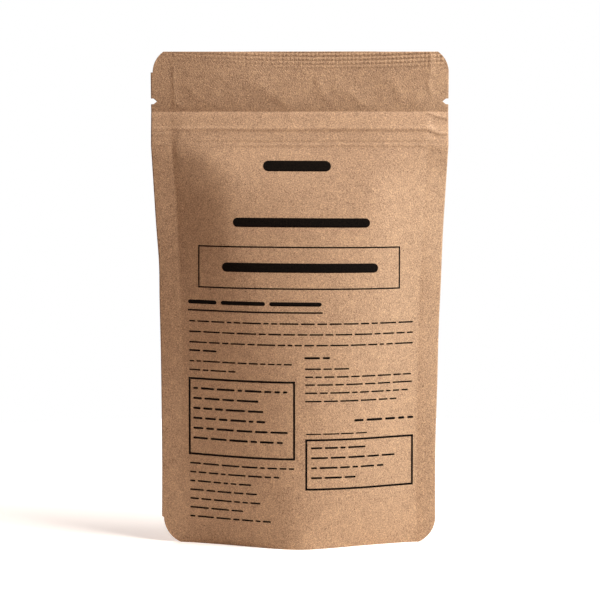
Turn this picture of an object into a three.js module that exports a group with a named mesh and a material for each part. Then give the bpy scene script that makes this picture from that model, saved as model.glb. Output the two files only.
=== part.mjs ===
// A sealed stand-up pouch of kraft paper laminate, filled with shelled tamarind.
//
// Two panels are heat sealed to each other down both sides and along the top. A third web, the
// gusset, is folded in between them at the bottom and opens when the pouch is filled, so that the
// pouch stands on the lower edges of its panels. A press-to-close zip lies inside, below the header.
//
// Millimetres, +Z up. The origin is on the surface that the pouch stands on, under the middle of
// its base. The panel that carries the print faces -Y, and X runs across the pouch.

import * as THREE from "three";
import { mergeVertices } from "three/addons/utils/BufferGeometryUtils.js";

// The blank: the pouch as it lies flat.
const FLAT_WIDTH = 180;
const HEIGHT = 298.8;
const SIDE_SEAL = 12.5;
const LAMINATE = 0.45;
const SEAL_GAP = 0.3;

// The die-cut outline: rounded corners, set in a little on the left, and a tear notch on each side.
const TOP_CORNER = { radius: 15.1, rise: 12.5 };
const BOTTOM_CORNER = { radius: 16.5, rise: 15.5 };
const CORNER_SET_IN = 1.2;
const STEP = 0.6;
const NOTCH = { height: HEIGHT - 29.9, mouth: 1.8, throat: 1.5, lip: 1.6, depth: 3.6 };

// The zip, and the ridges that it raises in the panels.
const ZIP = { top: HEIGHT - 36.4, ridge: HEIGHT - 46.7, rib: HEIGHT - 53.3, bottom: HEIGHT - 57 };
const ZIP_HALF_LENGTH = 73.5;
const TAPE = { near: 0.25, far: 0.65, end: 1 };
const TAPE_ROOM = 0.75;
const RIDGE = { room: 0.7, spread: 2.2 };
const RIB = { room: 0.35, spread: 1.5 };
const CRUSHED_ROOM = 0.25;

// The filled body. BULGE is from the middle plane to the inside of a panel, low down.
const BULGE = 28;
const SHOULDER = 48;
const HEADER_LEAN = Math.tan(THREE.MathUtils.degToRad(4));
const FLAT_SHOULDER = { sharpness: 10, fade: 12 };
const DOME = { power: 1.3, less: 0.3, fade: 40 };
const KEEL = { power: 1.3, tip: 0.2, fade: 16 };
const DRAWN_IN = { rate: 0.008, shoulder: 0.42, reach: 17, foot: 0.7, fade: 25 };

// The gusset: the height at which it leaves the panels, at the middle and at the sides. It lies
// folded in the side seals up to there, which makes them four layers thick.
const GUSSET = { middle: 8, side: 40, power: 2.5, sag: 1, foot: 0.8, clear: 0.3 };
const FOLD = { room: GUSSET.clear + LAMINATE, inner: 0.85, from: GUSSET.side + 1, to: GUSSET.side + 6 };

// The filling, which settles against the panels below a rough top.
const FILL = { top: 196, reach: 0.93, clear: 0.8, over_gusset: 0.7, lump: 4, dent: 1.1 };

const HALF_WIDTH = FLAT_WIDTH / 2;
const SEAL_INNER = HALF_WIDTH - SIDE_SEAL;

const { clamp, lerp, smoothstep } = THREE.MathUtils;
const bump = (distance, spread) => Math.exp(-((distance / spread) ** 2));

// ---------------------------------------------------------------------------------------------
// The shape of the filled pouch

// How far the middle of a panel stands out at height z.
function bulge(z) {
  return BULGE * (1 - Math.exp(-Math.max(0, ZIP.bottom - z) / SHOULDER));
}

// Where the side seal begins. Filling draws it in by as much as the curved section is longer than
// its chord, because the paper doesn't stretch: more at the tight shoulder, less at the foot.
function sealLine(z) {
  const down = Math.max(0, ZIP.bottom - z) / DRAWN_IN.reach;
  const shoulder = DRAWN_IN.shoulder * down * Math.exp(1 - down);
  const foot = DRAWN_IN.foot * Math.exp(-z / DRAWN_IN.fade);
  return SEAL_INNER - DRAWN_IN.rate * bulge(z) ** 2 - shoulder + foot;
}

// The section of the body at height z, as a share of its bulge, u from 0 at the middle to 1 at the
// seal. It is flat with tight corners under the zip, a dome lower down, and a soft keel at the foot,
// where the gusset pulls the panel back towards the seals.
function section(u, z) {
  const below = Math.max(0, ZIP.bottom - z);
  const sharpness = 2 + FLAT_SHOULDER.sharpness * Math.exp(-below / FLAT_SHOULDER.fade);
  const power = DOME.power - DOME.less * Math.exp(-below / DOME.fade);
  const dome = (1 - u ** sharpness) ** power;
  const tip = KEEL.tip;
  const slant = (Math.hypot(u, tip) - tip) / (Math.hypot(1, tip) - tip);
  const keel = (1 - slant) ** KEEL.power;
  return lerp(dome, keel, Math.exp(-z / KEEL.fade));
}

// The room that the zip takes, from the middle plane to the inside of a panel.
function zipRoom(x, z) {
  const tape =
    smoothstep(z, ZIP.bottom - 1, ZIP.bottom) * (1 - smoothstep(z, ZIP.top, ZIP.top + 1.5));
  const profile =
    TAPE_ROOM * tape +
    RIDGE.room * bump(z - ZIP.ridge, RIDGE.spread) +
    RIB.room * bump(z - ZIP.rib, RIB.spread);
  const crushed = smoothstep(Math.abs(x), ZIP_HALF_LENGTH, SEAL_INNER);
  return lerp(profile, CRUSHED_ROOM * tape, crushed);
}

// The room that the folded gusset takes at the side seals.
function foldRoom(u, z) {
  return FOLD.room * smoothstep(u, FOLD.inner, 1) * (1 - smoothstep(z, FOLD.from, FOLD.to));
}

// From the middle plane to the inside of a panel.
function room(x, z) {
  const u = Math.min(1, Math.abs(x) / sealLine(z));
  return SEAL_GAP / 2 + zipRoom(x, z) + foldRoom(u, z) + bulge(z) * section(u, z);
}

// The header leans towards the printed side from the zip up.
function middlePlane(z) {
  return -HEADER_LEAN * Math.max(0, z - ZIP.top);
}

// ---------------------------------------------------------------------------------------------
// Closed pieces from a grid of stations

// A box with one cell between neighbouring stations, whose corners place(i, j, k) moves.
// The axes keep their sense, so the faces still point out.
function gridSolid(countX, countY, countZ, place) {
  const box = new THREE.BoxGeometry(countX, countY, countZ, countX, countY, countZ);
  const corner = box.getAttribute("position");
  for (let n = 0; n < corner.count; n++) {
    const i = Math.round(corner.getX(n) + countX / 2);
    const j = Math.round(corner.getY(n) + countY / 2);
    const k = Math.round(corner.getZ(n) + countZ / 2);
    corner.setXYZ(n, ...place(i, j, k));
  }
  box.deleteAttribute("normal");
  box.deleteAttribute("uv");
  const solid = mergeVertices(box, 1e-4);
  solid.computeVertexNormals();
  return solid;
}

// Stations on both sides of zero, from those on one side.
const mirrored = (stations) => [...stations.map((s) => -s).reverse(), 0, ...stations];

// ---------------------------------------------------------------------------------------------
// Panels

// How far a corner arc has come in, at a distance along the side from where it starts.
const arcInset = ({ radius }, along) => radius - Math.sqrt(radius ** 2 - along ** 2);

// How far the tear notch has come in, at a distance up or down from its middle.
function notchInset(away) {
  if (away > NOTCH.throat) {
    return NOTCH.lip * clamp((NOTCH.mouth - away) / (NOTCH.mouth - NOTCH.throat), 0, 1);
  }
  return lerp(NOTCH.depth, NOTCH.lip, away / NOTCH.throat);
}

// The flat half width of the blank at height z, on the left (side -1) or the right (side 1).
function flatEdge(z, side) {
  const setIn = side < 0 ? CORNER_SET_IN : 0;
  const intoTop = z - (HEIGHT - TOP_CORNER.rise);
  const intoBottom = BOTTOM_CORNER.rise - z;
  if (intoTop >= STEP) return HALF_WIDTH - setIn - arcInset(TOP_CORNER, intoTop);
  if (intoBottom >= STEP) return HALF_WIDTH - setIn - arcInset(BOTTOM_CORNER, intoBottom);
  return HALF_WIDTH - notchInset(Math.abs(z - NOTCH.height));
}

const BODY_COLUMNS = [10, 21, 32, 42, 51, 59, 65.5, 70, ZIP_HALF_LENGTH, SEAL_INNER];
const WING_COLUMNS = [0.5, 1];
const COLUMNS = mirrored([...BODY_COLUMNS, ...WING_COLUMNS.map((part) => SEAL_INNER + part)]);

// The distance from the centre line at a column: fixed shares of the body between the seals, then
// shares of the side seal out to the cut edge.
function across(column, z) {
  const side = Math.sign(column);
  const flat = Math.abs(column);
  if (flat <= SEAL_INNER) return (column / SEAL_INNER) * sealLine(z);
  return side * (sealLine(z) + (flat - SEAL_INNER) * (flatEdge(z, side) - SEAL_INNER));
}

const ROWS = [
  ...[0, 1.5, 4, 7.5, 11.5],
  BOTTOM_CORNER.rise - STEP,
  BOTTOM_CORNER.rise,
  ...[24, 32.5, FOLD.from, FOLD.to],
  ...[60, 78, 98, 120, 143, 164, 182, 197, 209, 218, 226, 232, 237],
  ZIP.bottom - 1,
  ZIP.bottom,
  ...[ZIP.rib, ZIP.rib + 2.2, ZIP.ridge - 1.3, ZIP.ridge, ZIP.ridge + 1.3, ZIP.ridge + 3.5],
  ZIP.top,
  ZIP.top + 1.5,
  ...[-NOTCH.mouth, -NOTCH.throat, 0, NOTCH.throat, NOTCH.mouth].map((d) => NOTCH.height + d),
  HEIGHT - TOP_CORNER.rise,
  HEIGHT - TOP_CORNER.rise + STEP,
  ...[8, 4.5, 1.8, 0].map((down) => HEIGHT - down),
];

// side is -1 for the panel that faces -Y and 1 for the one behind.
function panel(side) {
  return gridSolid(COLUMNS.length - 1, 1, ROWS.length - 1, (i, j, k) => {
    const z = ROWS[k];
    const x = across(COLUMNS[i], z);
    const outside = side < 0 ? 1 - j : j;
    return [x, middlePlane(z) + side * (room(x, z) + outside * LAMINATE), z];
  });
}

// ---------------------------------------------------------------------------------------------
// Gusset

const WALL_STATIONS = [0, 0.06, 0.14, 0.24, 0.38, 0.65, 1];
const FLOOR_STATIONS = mirrored([0.3, 0.58, 0.82, 1]);

// The height at which the gusset leaves the panels, u as in section().
const seatHeight = (u) => lerp(GUSSET.middle, GUSSET.side, Math.abs(u) ** GUSSET.power);

// How the web sags between the panels, v from -1 at the printed side to 1 at the other.
const sagHeight = (u, v) => -GUSSET.sag * (1 - u ** 2) * (1 - v ** 2);

// The web runs up the inside of the printed panel, over, and down the inside of the other one.
// Each station is the share of the wall height, or the place v along the floor.
const GUSSET_PATH = [
  ...WALL_STATIONS.slice(0, -1).map((share) => ({ side: -1, share })),
  ...FLOOR_STATIONS.map((v) => ({ v })),
  ...WALL_STATIONS.slice(0, -1).reverse().map((share) => ({ side: 1, share })),
];

function gusset() {
  return gridSolid(COLUMNS.length - 1, GUSSET_PATH.length - 1, 1, (i, j, k) => {
    const u = clamp(COLUMNS[i] / SEAL_INNER, -1, 1);
    const { side, share, v } = GUSSET_PATH[j];
    const seat = seatHeight(u);
    const under = (1 - k) * LAMINATE;
    if (v === undefined) {
      const z = lerp(GUSSET.foot, seat, share);
      const x = across(COLUMNS[i], z);
      return [x, side * (room(x, z) - GUSSET.clear - under), z];
    }
    const x = across(COLUMNS[i], seat);
    const reach = room(x, seat) - GUSSET.clear - under;
    return [x, v * reach, seat + sagHeight(u, v) - under];
  });
}

// ---------------------------------------------------------------------------------------------
// Filling

const FILL_COLUMNS = mirrored([0.16, 0.32, 0.48, 0.62, 0.75, 0.85, FILL.reach]);
const FILL_DEPTHS = mirrored([0.38, 0.72, 1]);
const FILL_LEVELS = [0, 0.06, 0.14, 0.26, 0.4, 0.55, 0.7, 0.83, 0.93, 1];

// The rough top of the heap, and the shallow hollows between the pieces that press on the panels.
const heapTop = (u, v) => FILL.top + FILL.lump * (Math.sin(7 * u + 1) * Math.cos(3 * v) - 2 * u ** 2);
const hollow = (u, w) => FILL.dent * (0.5 + 0.5 * Math.sin(11 * u + 2) * Math.sin(17 * w));

function filling() {
  const [lastI, lastJ, lastK] = [FILL_COLUMNS, FILL_DEPTHS, FILL_LEVELS].map((s) => s.length - 1);
  return gridSolid(lastI, lastJ, lastK, (i, j, k) => {
    const [u, v, w] = [FILL_COLUMNS[i], FILL_DEPTHS[j], FILL_LEVELS[k]];
    const z = lerp(seatHeight(u) + sagHeight(u, v) + FILL.over_gusset, heapTop(u, v), w);
    const x = u * sealLine(z);
    const reach = room(x, z) - FILL.clear - hollow(u, w) * (1 - u ** 2);
    return [x, v * reach, z];
  });
}

// ---------------------------------------------------------------------------------------------
// Zip

// Both tapes are drawn in the plane across the pouch, as [distance from the middle plane, height].
const TAPE_LOW = ZIP.bottom + TAPE.end - ZIP.ridge;
const TAPE_HIGH = ZIP.top - TAPE.end - ZIP.ridge;

// The tape on the printed side carries a rib with an arrow head.
const RIB_OUTLINE = [
  [-TAPE.far, TAPE_LOW],
  [-TAPE.near, TAPE_LOW],
  ...[[-TAPE.near, -0.3], [0.45, -0.3], [0.45, -0.65], [0.9, -0.2]],
  ...[[0.9, 0.2], [0.45, 0.65], [0.45, 0.3], [-TAPE.near, 0.3]],
  [-TAPE.near, TAPE_HIGH],
  [-TAPE.far, TAPE_HIGH],
];

// The tape on the other side carries two hooked jaws that close round the arrow head.
const GROOVE_OUTLINE = [
  [TAPE.near, TAPE_LOW],
  [TAPE.far, TAPE_LOW],
  ...[[TAPE.far, -1.12], [1.37, -1.12], [1.37, 1.12], [TAPE.far, 1.12]],
  [TAPE.far, TAPE_HIGH],
  [TAPE.near, TAPE_HIGH],
  ...[[TAPE.near, 1.12], [0, 1.12], [0, 0.5], [0.28, 0.5], [0.28, 0.82], [1.07, 0.82]],
  ...[[1.07, -0.82], [0.28, -0.82], [0.28, -0.5], [0, -0.5], [0, -1.12], [TAPE.near, -1.12]],
];

// The outline is extruded along the zip. Its own x, y and z become Y, Z and X.
function zipTape(outline) {
  const shape = new THREE.Shape(outline.map(([y, z]) => new THREE.Vector2(y, z)));
  const tape = new THREE.ExtrudeGeometry(shape, {
    depth: 2 * ZIP_HALF_LENGTH,
    bevelEnabled: false,
  });
  const turn = new THREE.Matrix4().set(0, 0, 1, 0, 1, 0, 0, 0, 0, 1, 0, 0, 0, 0, 0, 1);
  return tape.applyMatrix4(turn).translate(-ZIP_HALF_LENGTH, 0, 0);
}

// ---------------------------------------------------------------------------------------------
// The pouch

const kraft = new THREE.MeshStandardMaterial({ color: 0xbb9170, roughness: 0.85, metalness: 0 });
const gussetKraft = new THREE.MeshStandardMaterial({ color: 0xa57d5e, roughness: 0.88, metalness: 0 });
const zipPlastic = new THREE.MeshStandardMaterial({ color: 0xe6e3dc, roughness: 0.4, metalness: 0 });
const fruitFlesh = new THREE.MeshStandardMaterial({ color: 0x43231a, roughness: 0.55, metalness: 0 });

const pouch = new THREE.Group();

function add(name, geometry, material) {
  const mesh = new THREE.Mesh(geometry, material);
  mesh.name = name;
  pouch.add(mesh);
  return mesh;
}

add("front_panel", panel(-1), kraft);
add("back_panel", panel(1), kraft);
add("bottom_gusset", gusset(), gussetKraft);
add("zip_rib", zipTape(RIB_OUTLINE), zipPlastic).position.z = ZIP.ridge;
add("zip_groove", zipTape(GROOVE_OUTLINE), zipPlastic).position.z = ZIP.ridge;
add("tamarind_filling", filling(), fruitFlesh);

export default pouch;
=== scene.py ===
# %% [markdown]
# # A stand-up pouch of kraft paper
#
# The pouch is made of two panels of brown kraft paper, laminated with film, and a third web, the
# gusset, that is folded in between them at the bottom. The panel in front is printed. The sides and
# the top are heat sealed, and a press-to-close zip runs across the pouch inside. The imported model
# already holds the true sizes, so this file only gives the paper its fine shape, its print and its
# finish.

# %% The frame
import math

import bpy
import numpy as np
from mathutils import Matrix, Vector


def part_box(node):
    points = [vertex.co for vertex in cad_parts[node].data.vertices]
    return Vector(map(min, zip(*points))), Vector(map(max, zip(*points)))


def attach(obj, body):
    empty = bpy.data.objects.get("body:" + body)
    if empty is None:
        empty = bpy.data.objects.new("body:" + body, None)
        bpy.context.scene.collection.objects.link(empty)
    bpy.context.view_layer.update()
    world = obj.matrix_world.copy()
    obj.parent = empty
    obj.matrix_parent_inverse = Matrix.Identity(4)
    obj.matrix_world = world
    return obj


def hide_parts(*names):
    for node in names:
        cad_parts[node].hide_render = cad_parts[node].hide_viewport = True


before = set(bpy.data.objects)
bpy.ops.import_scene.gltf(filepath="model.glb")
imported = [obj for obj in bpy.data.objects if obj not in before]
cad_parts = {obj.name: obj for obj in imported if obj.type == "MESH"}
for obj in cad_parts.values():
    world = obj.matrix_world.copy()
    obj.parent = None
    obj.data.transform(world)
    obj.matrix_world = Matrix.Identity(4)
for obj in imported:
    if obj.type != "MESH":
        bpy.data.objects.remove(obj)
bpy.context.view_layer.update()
print("frame nodes:", sorted(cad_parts))

# %% [markdown]
# ## The sizes
#
# Everything is worked out in millimetres and turned to metres when a mesh is made. The height and
# the width come from the frame. The rest are the pouch maker's own sizes: where the seals and the
# zip are, how thick the paper is, and how much room there is between two webs. A size that only
# one step needs stands in that step's own cell.

# %% Driving dimensions
MM = 0.001
_, panel_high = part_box("front_panel")
HEIGHT = panel_high[2] / MM
HALF_WIDTH = panel_high[0] / MM
SIDE_SEAL = 12.5
SEAL_INNER = HALF_WIDTH - SIDE_SEAL
PAPER = 0.25
WEB_GAP = 0.02

ZIP_TOP = HEIGHT - 36.1
ZIP_RIDGE = HEIGHT - 46.7
ZIP_RIB = HEIGHT - 53.3
ZIP_BOTTOM = HEIGHT - 57.0
print(f"pouch {2 * HALF_WIDTH:.0f} mm wide and {HEIGHT:.0f} mm tall")

# %% [markdown]
# ## The body's form
#
# A filled pouch is flat at the zip and fat at the foot. A cloth simulation could blow one up, but
# its folds come out where they please. Here a few short formulas say it, one for each thing that
# shapes the pouch, and the panels are their sum. The first one says how far the middle of a panel
# stands out: nothing at the zip, most of it within a hand's width below.

# %% Bulge
BULGE = 28.0
SHOULDER = 48.0
ZIP_SOFT = 4.0


def below_zip(z):
    """Depth below the zip's lower edge, going softly to 0 above it: 4 ln(1 + e^(depth / 4))."""
    return ZIP_SOFT * np.logaddexp(0.0, (ZIP_BOTTOM - z) / ZIP_SOFT)


def bulge(z):
    """How far the middle of a panel stands out: BULGE times 1 - exp(-depth below the zip / SHOULDER)."""
    return BULGE * (1.0 - np.exp(-below_zip(z) / SHOULDER))


print(f"the middle of a panel stands out {bulge(0.0):.1f} mm at the foot")

# %% [markdown]
# ### The side seals
#
# Paper doesn't stretch, so where the body bulges out, it draws the side seals in. The panels part
# at the inner edge of the seal, and on the upper left a little further in.

# %% Side seals
DRAWN_IN = 0.008
SHOULDER_DRAWN_IN, SHOULDER_DEPTH = 0.42, 17.0
FOOT_FLARE, FOOT_FADE = 0.7, 25.0
LEFT_PARTING, LEFT_PARTING_SOFT = 0.9, 5.0
LEFT_PARTING_RANGE = (70.0, 120.0)


def smooth_step(value, low, high):
    """0 below low, 1 above high, and 3t^2 - 2t^3 between them."""
    t = np.clip((value - low) / (high - low), 0.0, 1.0)
    return t * t * (3.0 - 2.0 * t)


def seal_line(z):
    """Distance of the side seal from the centre line.

    It comes in with the square of the bulge, by up to 0.42 mm more at the shoulder, which is
    17 mm below the zip, and goes out again by 0.7 mm at the foot."""
    down = np.maximum(0.0, ZIP_BOTTOM - z) / SHOULDER_DEPTH
    shoulder = SHOULDER_DRAWN_IN * down * np.exp(1.0 - down)
    foot = FOOT_FLARE * np.exp(-z / FOOT_FADE)
    return SEAL_INNER - DRAWN_IN * bulge(z) ** 2 - shoulder + foot


def parting_line(x, z):
    """Where the two panels part: at the seal line, or LEFT_PARTING inside it on the upper left."""
    under_zip = smooth_step(ZIP_BOTTOM + LEFT_PARTING_SOFT - z, 0.0, 2.0 * LEFT_PARTING_SOFT)
    late = under_zip * smooth_step(z, *LEFT_PARTING_RANGE)
    return seal_line(z) - np.where(x < 0.0, LEFT_PARTING, 0.0) * late


def share_across(x, z):
    """How far out a point of a panel is: 0 in the middle and 1 where the panels part."""
    return np.abs(x) / parting_line(x, z)


print(f"the bulge draws each side seal in by {SEAL_INNER - seal_line(HEIGHT / 2.0):.1f} mm")

# %% [markdown]
# ### Curves up the pouch
#
# Many measures change along the pouch, a little more here and a little less there. Freehand curves
# would be long lists of points. A start with a few smooth steps and round humps says the same in
# numbers that have a meaning: how much, and between which heights.


# %% Curves
def hump(value, middle, spread):
    """1 at the middle, falling to both sides: exp(-(distance / spread)^2)."""
    return np.exp(-(((value - middle) / spread) ** 2))


def curve(value, start=0.0, steps=(), humps=()):
    """A start, plus smooth steps (change, from, to), plus humps (rise, middle, spread)."""
    total = start + 0.0 * value
    for change, low, high in steps:
        total = total + change * smooth_step(value, low, high)
    for rise, middle, spread in humps:
        total = total + rise * hump(value, middle, spread)
    return total


stepped = curve(np.linspace(0.0, 4.0, 5), steps=((1.0, 0.0, 2.0),), humps=((0.5, 3.0, 1.0),))
print("a step and a hump on top of it:", stepped.round(2))

# %% [markdown]
# ### The section
#
# Seen from above, the body is a different shape at each height. The stiff zip holds the panel
# straight, so under it the panel slopes like a roof. Half way down the fruit has pushed it out to
# a dome, and at the foot the gusset pulls it back to a keel. One form fades into the next.

# %% Section of the body
ROOF_SLOPE = 0.15
ROOF_FADE = 60.0
FLANK_START, FLANK_END = 0.45, 0.72
ZIP_FLANK_START, ZIP_FLANK_START_FADE = 0.2, 8.0
ZIP_FLANK_END, ZIP_FLANK_END_FADE = 0.33, 11.0
DOME_POWER = 1.3
DOME_SOFT = {"start": 0.01, "steps": ((0.08, 60.0, 200.0),)}
KEEL_TIP = 0.2
KEEL_FADE = 16.0


def roof(u, start, end):
    """Share left at u of a slope that is 0.15 u in the middle and gains 1 between start and end.

    It is the integral of 0.15 u + smooth_step(u, start, end), counted from the seal and scaled."""

    def fallen(at):
        t = np.clip((at - start) / (end - start), 0.0, 1.0)
        step = (end - start) * (t**3 - 0.5 * t**4) + np.maximum(0.0, at - end)
        return 0.5 * ROOF_SLOPE * at**2 + step

    return 1.0 - fallen(u) / fallen(1.0)


def dome(u, z):
    """(1 + e - u^2)^1.3 less its value at the seal, and 1 in the middle. A small e softens its edge."""
    soft = curve(z, **DOME_SOFT)
    edge = soft**DOME_POWER
    return ((1.0 + soft - u**2) ** DOME_POWER - edge) / ((1.0 + soft) ** DOME_POWER - edge)


def keel(u):
    """(1 - slope)^1.3, where the slope is u with a round tip."""
    slant = (np.hypot(u, KEEL_TIP) - KEEL_TIP) / (math.hypot(1.0, KEEL_TIP) - KEEL_TIP)
    return np.maximum(0.0, 1.0 - slant) ** DOME_POWER


def section(u, z):
    """Share of the bulge at u: the roof turns into the dome and, at the foot, into the keel.

    The roof's flanks begin near the seal at the zip, and from 20 mm below it between FLANK_START
    and FLANK_END."""
    u = np.clip(np.abs(u), 0.0, 1.0)
    below = below_zip(z)
    start = FLANK_START + ZIP_FLANK_START * np.exp(-below / ZIP_FLANK_START_FADE)
    end = FLANK_END + ZIP_FLANK_END * np.exp(-((below / ZIP_FLANK_END_FADE) ** 3))
    upper = np.exp(-((below / ROOF_FADE) ** 2))
    foot = np.exp(-z / KEEL_FADE)
    body = roof(u, start, end) * upper + dome(u, z) * (1.0 - upper)
    return body * (1.0 - foot) + keel(u) * foot


for place, z in (("shoulder", ZIP_BOTTOM - 30.0), ("middle", HEIGHT / 2.0), ("foot", 0.0)):
    print(f"{place}: half way out the panel keeps {section(0.5, z):.2f} of its bulge")

# %% [markdown]
# ### The sweep of the sides
#
# The full body bends its flat side seals back, most where it is fattest. The left is swept most at
# half height and the right under the zip. A shallow groove runs along the inner edge of each seal,
# where the sealing bar bent both webs.

# %% Side sweep
WING_SWEEP = math.tan(math.radians(13.0))
BODY_SWEEP = {"start": 0.45, "steps": ((0.55, 0.0, 70.0),)}
FOOT_SWEEP = {"start": 0.7, "steps": ((0.3, 10.0, 110.0),)}
LEFT_SWEEP = {
    "start": 1.55,
    "steps": ((-0.55, 40.0, 100.0), (-0.5, 222.0, 240.0)),
    "humps": ((0.6, 128.0, 35.0), (-0.5, 205.0, 25.0)),
}
RIGHT_SWEEP = {
    "start": 0.6,
    "steps": ((0.4, 60.0, 130.0), (1.1, 150.0, 205.0), (-1.1, 224.0, 236.0), (-0.5, 256.0, 268.0)),
}
CREASE_DEPTH, CREASE_WIDTH, CREASE_ROUND = 0.28, 0.9, 0.45
CREASE_PLACE, CREASE_TOP = 0.4, 8.0
CREASE_FADE = {"start": 0.4, "steps": ((0.6, 20.0, 150.0),)}


def wing_sweep(x, z):
    """Slope of the side seals: it grows down from the zip, eases at the foot, and differs by side."""
    full = curve(ZIP_BOTTOM - z, **BODY_SWEEP) * curve(z, **FOOT_SWEEP)
    return WING_SWEEP * full * np.where(x < 0.0, curve(z, **LEFT_SWEEP), curve(z, **RIGHT_SWEEP))


def seal_crease(x, z):
    """The groove's depth: exp(-distance / width), rounded at the bottom, fading at zip and foot."""
    away = np.hypot(np.abs(x) - parting_line(x, z) - CREASE_PLACE, CREASE_ROUND)
    strength = smooth_step(ZIP_BOTTOM + CREASE_TOP - z, 0.0, CREASE_TOP) * curve(z, **CREASE_FADE)
    return CREASE_DEPTH * strength * np.exp(-away / CREASE_WIDTH)


for side, z in ((-1.0, 128.0), (1.0, 205.0)):
    sweep = math.degrees(math.atan(wing_sweep(side, z)))
    print(f"side {side:+.0f} is swept back by {sweep:.0f} degrees at {z:.0f} mm up")

# %% [markdown]
# ### The lean and the bends
#
# No pouch stands quite straight. Its zip band leans back, the empty header nods forward again, and
# the fruit leaves broad bends. All of these move both panels together, so they go into one middle
# plane that every other piece follows too.

# %% Middle plane
BAND_TILT = math.tan(math.radians(10.0))
BAND_START, BAND_SOFT = 1.0, 2.0
HEADER_TILT = math.tan(math.radians(3.0))
HEADER_NOD = {"start": 2.5, "steps": ((-0.4, -40.0, -10.0), (-0.9, -5.0, 40.0))}
HEADER_NOD_HEIGHT = 10.0
LEFT_CURL, CURL_RANGE = 0.0005, (110.0, 230.0)
TWIST, TWIST_PLACE, TWIST_SPREAD = -0.025, 190.0, 30.0
BENDS = [
    (-72.0, 239.0, -1.1, 26.0, 17.0),
    (54.0, 236.0, -1.4, 24.0, 24.0),
    (-30.0, 197.0, 0.5, 14.0, 22.0),
    (-10.0, 165.0, 1.2, 24.0, 45.0),
    (44.0, 132.0, -1.5, 30.0, 40.0),
    (-12.0, 302.0, 1.6, 26.0, 20.0),
]


def slow_bends(x, z):
    """Broad bends (x, z, depth, half width, half height): depth * hump across * hump up of each.

    A depth below 0 is a bend forward. The zip's two ends poke forward, the fruit pushes the right
    of the body out, and the middle of the top edge stands back."""
    bends = 0.0 * x
    for at_x, at_z, depth, wide, tall in BENDS:
        bends = bends + depth * hump(x, at_x, wide) * hump(z, at_z, tall)
    return bends


def middle_plane(x, z):
    """How far the pouch's middle plane lies behind y = 0.

    The zip band leans back as it goes up. The header nods forward again, by about 2 mm just above
    its crease, most on the left, and slowly after that. The upper left is curled back, as x
    squared, and the body is twisted at TWIST_PLACE. The slow bends and the side seals are added."""
    up_band = np.minimum(z, ZIP_TOP) - ZIP_BOTTOM - BAND_START
    band = BAND_TILT * BAND_SOFT * np.logaddexp(0.0, up_band / BAND_SOFT)
    up = np.maximum(0.0, z - ZIP_TOP)
    header = HEADER_TILT * up + curve(x, **HEADER_NOD) * (1.0 - np.exp(-up / HEADER_NOD_HEIGHT))
    curl = LEFT_CURL * np.clip(x, -SEAL_INNER, 0.0) ** 2 * smooth_step(z, *CURL_RANGE)
    twist = TWIST * np.clip(x, -SEAL_INNER, SEAL_INNER) * hump(z, TWIST_PLACE, TWIST_SPREAD)
    wing = wing_sweep(x, z) * np.maximum(0.0, np.abs(x) - parting_line(x, z))
    return band - header + curl + twist + slow_bends(x, z) + wing + seal_crease(x, z)


print(f"the zip leans back to {middle_plane(0.0, ZIP_TOP):.1f} mm behind the middle")

# %% [markdown]
# ## The cut outline
#
# A die cuts the corners round and nicks a tear notch in each side. On the left its cuts are
# 1.2 mm further in than the blank's own edge, which leaves a small step above and below. Cutting
# solids out of the panel would leave ragged faces, so the outline is a function of the height, and
# the outer columns of the panel's grid follow it.

# %% Outline of the blank
TOP_CORNER_RADIUS, TOP_CORNER_RISE = 15.1, 12.5
BOTTOM_CORNER_RADIUS, BOTTOM_CORNER_RISE = 16.5, 15.5
CORNER_SET_IN = 1.2
NOTCH_HEIGHT = HEIGHT - 29.9
NOTCH_MOUTH, NOTCH_LIP, NOTCH_DEPTH = 1.7, 1.6, 3.6
LIP_MARGIN = 0.001
LEFT_WAVE = {"humps": ((-0.6, 170.0, 16.0),)}
RIGHT_WAVE = {
    "start": -0.9,
    "steps": ((0.9, 50.0, 110.0), (0.35, 150.0, 240.0)),
    "humps": ((0.4, 160.0, 22.0),),
}


def arc_inset(radius, along):
    """How far a round corner has come in, at a distance along the side from where it starts."""
    return radius - np.sqrt(radius**2 - along**2)


def flat_edge(z, side):
    """Half width of the flat blank at height z, on the left (side -1) or the right (side 1).

    A notch is a V whose depth goes from NOTCH_DEPTH in its middle to NOTCH_LIP at its mouth."""
    set_in = np.where(side < 0, CORNER_SET_IN, 0.0)
    top = np.maximum(0.0, z - (HEIGHT - TOP_CORNER_RISE))
    bottom = np.maximum(0.0, BOTTOM_CORNER_RISE - z)
    corner = arc_inset(TOP_CORNER_RADIUS, top) + arc_inset(BOTTOM_CORNER_RADIUS, bottom)
    corner = corner + set_in * (np.maximum(top, bottom) > 0.0)
    away = np.abs(z - NOTCH_HEIGHT)
    notch = NOTCH_DEPTH + (NOTCH_LIP - NOTCH_DEPTH) * np.minimum(1.0, away / NOTCH_MOUTH)
    return HALF_WIDTH - corner - np.where(away < NOTCH_MOUTH + LIP_MARGIN, notch, 0.0)


def edge_wave(z, side):
    """How far the cut edge waves out from its straight place.

    The left comes in by 0.6 mm at 170 mm up. The right goes out above that and in at the foot."""
    return np.where(side < 0.0, curve(z, **LEFT_WAVE), curve(z, **RIGHT_WAVE))


def across(column, z):
    """Standing x of a column of the flat blank: shares of the body, then shares of the side seal."""
    side = np.sign(column)
    flat = np.abs(column)
    inside = column / SEAL_INNER * seal_line(z)
    share = (flat - SEAL_INNER) / SIDE_SEAL
    wing = share * (flat_edge(z, side) - SEAL_INNER + edge_wave(z, side))
    return np.where(flat <= SEAL_INNER, inside, side * (seal_line(z) + wing))


left_edge, right_edge = across(np.array([-HALF_WIDTH, HALF_WIDTH]), HEIGHT / 2.0)
print(f"at half height the pouch is {right_edge - left_edge:.1f} mm wide")

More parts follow.
